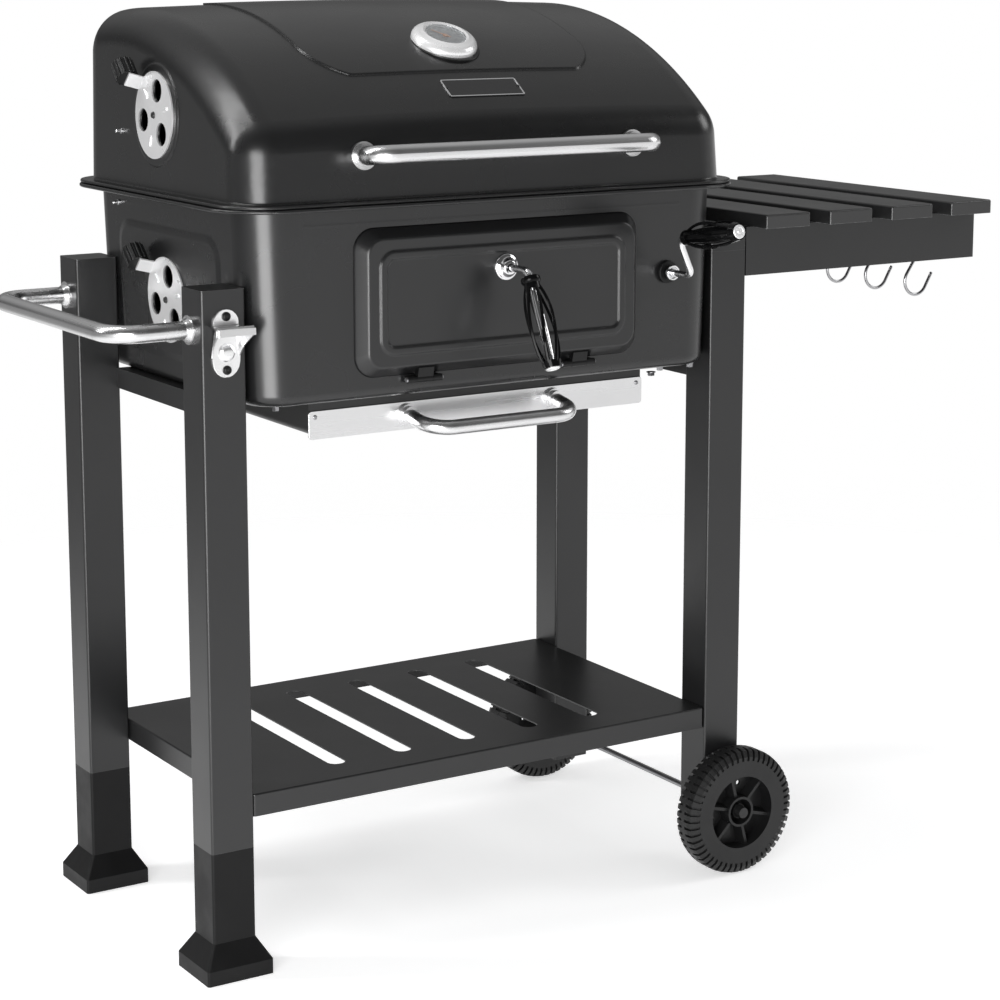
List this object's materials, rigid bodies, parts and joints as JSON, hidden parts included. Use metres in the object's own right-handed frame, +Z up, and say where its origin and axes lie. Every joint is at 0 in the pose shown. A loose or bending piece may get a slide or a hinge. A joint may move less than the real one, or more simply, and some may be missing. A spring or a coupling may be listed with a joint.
{
  "type": "charcoal grill trolley",
  "caption": "Lidded charcoal grill on a wheeled cart, with a slatted side table, front fuel door, crank-raised charcoal tray and ash drawer.",
  "frame": {"origin": "on the floor, under the centre of the overall bounding box", "axes": "+X towards the side table, +Y towards the rear (the lid hinges), +Z up; the front door and the grips face -Y"},
  "size_m": [1.195, 0.6276, 1.0692],
  "materials": {
    "paint_black": "satin powder coat",
    "paint_dark": "satin black",
    "foot_plastic": "matte",
    "wheel_plastic": "matte",
    "tyre_plastic": "matte",
    "stainless": "brushed",
    "bright_steel": "polished",
    "grate_chrome": "plated wire",
    "zinc": "zinc plated",
    "grip_black": "gloss black",
    "knob_plastic": "satin",
    "dial_face": "printed",
    "needle_orange": "painted",
    "glass": "clear"
  },
  "bodies": {
    "cart": {"leg_front_left": "paint_black", "leg_rear_left": "paint_black", "leg_front_right": "paint_black", "leg_rear_right": "paint_black", "foot_front_left": "foot_plastic", "foot_rear_left": "foot_plastic", "bottom_shelf": "paint_black", "cross_rail_left": "paint_black", "cross_rail_right": "paint_black", "axle": "zinc", "table_rail_front": "paint_black", "table_rail_rear": "paint_black", "table_rail_end": "paint_black", "hook_bar": "zinc", "table_slat_1": "paint_black", "table_slat_2": "paint_black", "table_slat_3": "paint_black", "table_slat_4": "paint_black", "push_handle": "stainless", "bottle_opener": "bright_steel", "firebox": "paint_black", "hinge_brackets": "paint_dark", "hinge_pins": "zinc", "crank_bushing": "stainless", "lift_guides": "paint_dark", "drawer_runners": "paint_dark", "cooking_grates": "grate_chrome", "cart_fasteners": "zinc"},
    "lid": {"lid": "paint_black", "lid_handle": "stainless", "lid_hinge_arms": "paint_dark", "thermometer_case": "bright_steel", "thermometer_dial": "dial_face", "thermometer_needle": "needle_orange", "thermometer_lens": "glass", "lid_fasteners": "bright_steel"},
    "door": {"door": "paint_black", "door_hinge_straps": "paint_dark", "door_handle_rosette": "stainless"},
    "latch": {"latch_rod": "bright_steel", "latch_grip": "grip_black"},
    "crank": {"crank_rod": "bright_steel", "crank_grip": "grip_black"},
    "charcoal_lift": {"charcoal_tray": "paint_dark", "charcoal_grate": "paint_dark", "lift_rack": "paint_dark"},
    "ash_drawer": {"ash_tray": "paint_dark", "drawer_front": "stainless", "drawer_handle": "stainless"},
    "firebox_vent": {"firebox_vent_disc": "bright_steel", "firebox_vent_knob": "knob_plastic"},
    "lid_vent": {"lid_vent_disc": "bright_steel", "lid_vent_knob": "knob_plastic"},
    "wheel_front": {"wheel_front_tyre": "tyre_plastic", "wheel_front_rim": "wheel_plastic"},
    "wheel_rear": {"wheel_rear_tyre": "tyre_plastic", "wheel_rear_rim": "wheel_plastic"},
    "hook_front": {"hook_1": "bright_steel"},
    "hook_middle": {"hook_2": "bright_steel"},
    "hook_rear": {"hook_3": "bright_steel"}
  },
  "joints": [
    {"name": "lid_hinge", "type": "hinge", "parent": "cart", "child": "lid", "pos_m": [-0.1345, 0.30625, 0.862], "axis": [-1, 0, 0], "range_deg": [0, 95]},
    {"name": "door_hinge", "type": "hinge", "parent": "cart", "child": "door", "pos_m": [-0.1345, -0.15425, 0.659], "axis": [1, 0, 0], "range_deg": [0, 95]},
    {"name": "latch_turn", "type": "hinge", "parent": "door", "child": "latch", "pos_m": [-0.1345, -0.16225, 0.778], "axis": [0, 1, 0], "range_deg": [0, 90]},
    {"name": "crank_turn", "type": "hinge", "parent": "cart", "child": "crank", "pos_m": [0.0975, -0.14775, 0.7556], "axis": [0, 1, 0], "range_deg": [0, 286.48]},
    {"name": "lift_slide", "type": "slide", "parent": "cart", "child": "charcoal_lift", "axis": [0, 0, 1], "range_m": [0, 0.06]},
    {"name": "drawer_slide", "type": "slide", "parent": "cart", "child": "ash_drawer", "axis": [0, 1, 0], "range_m": [-0.22, 0]},
    {"name": "firebox_vent_turn", "type": "hinge", "parent": "cart", "child": "firebox_vent", "pos_m": [-0.44363, 0.06575, 0.737], "axis": [0.9995, 0, 0.0322], "range_deg": [0, 60]},
    {"name": "lid_vent_turn", "type": "hinge", "parent": "lid", "child": "lid_vent", "pos_m": [-0.45339, 0.06675, 0.946], "axis": [0.9997, 0, -0.0238], "range_deg": [0, 60]},
    {"name": "wheel_front_spin", "type": "hinge", "parent": "cart", "child": "wheel_front", "pos_m": [0.2025, -0.15825, 0.079], "axis": [0, 1, 0], "continuous": true},
    {"name": "wheel_rear_spin", "type": "hinge", "parent": "cart", "child": "wheel_rear", "pos_m": [0.2025, 0.28175, 0.079], "axis": [0, 1, 0], "continuous": true},
    {"name": "hook_front_swing", "type": "hinge", "parent": "cart", "child": "hook_front", "pos_m": [0.5745, -0.05225, 0.753], "axis": [0, 1, 0], "range_deg": [-15, 15]},
    {"name": "hook_middle_swing", "type": "hinge", "parent": "cart", "child": "hook_middle", "pos_m": [0.5745, 0.02675, 0.753], "axis": [0, 1, 0], "range_deg": [-15, 15]},
    {"name": "hook_rear_swing", "type": "hinge", "parent": "cart", "child": "hook_rear", "pos_m": [0.5745, 0.10575, 0.753], "axis": [0, 1, 0], "range_deg": [-15, 15]}
  ],
  "couplings": [
    {"joint": "crank_turn", "follows": "lift_slide", "rad_per_m": 83.333}
  ]
}
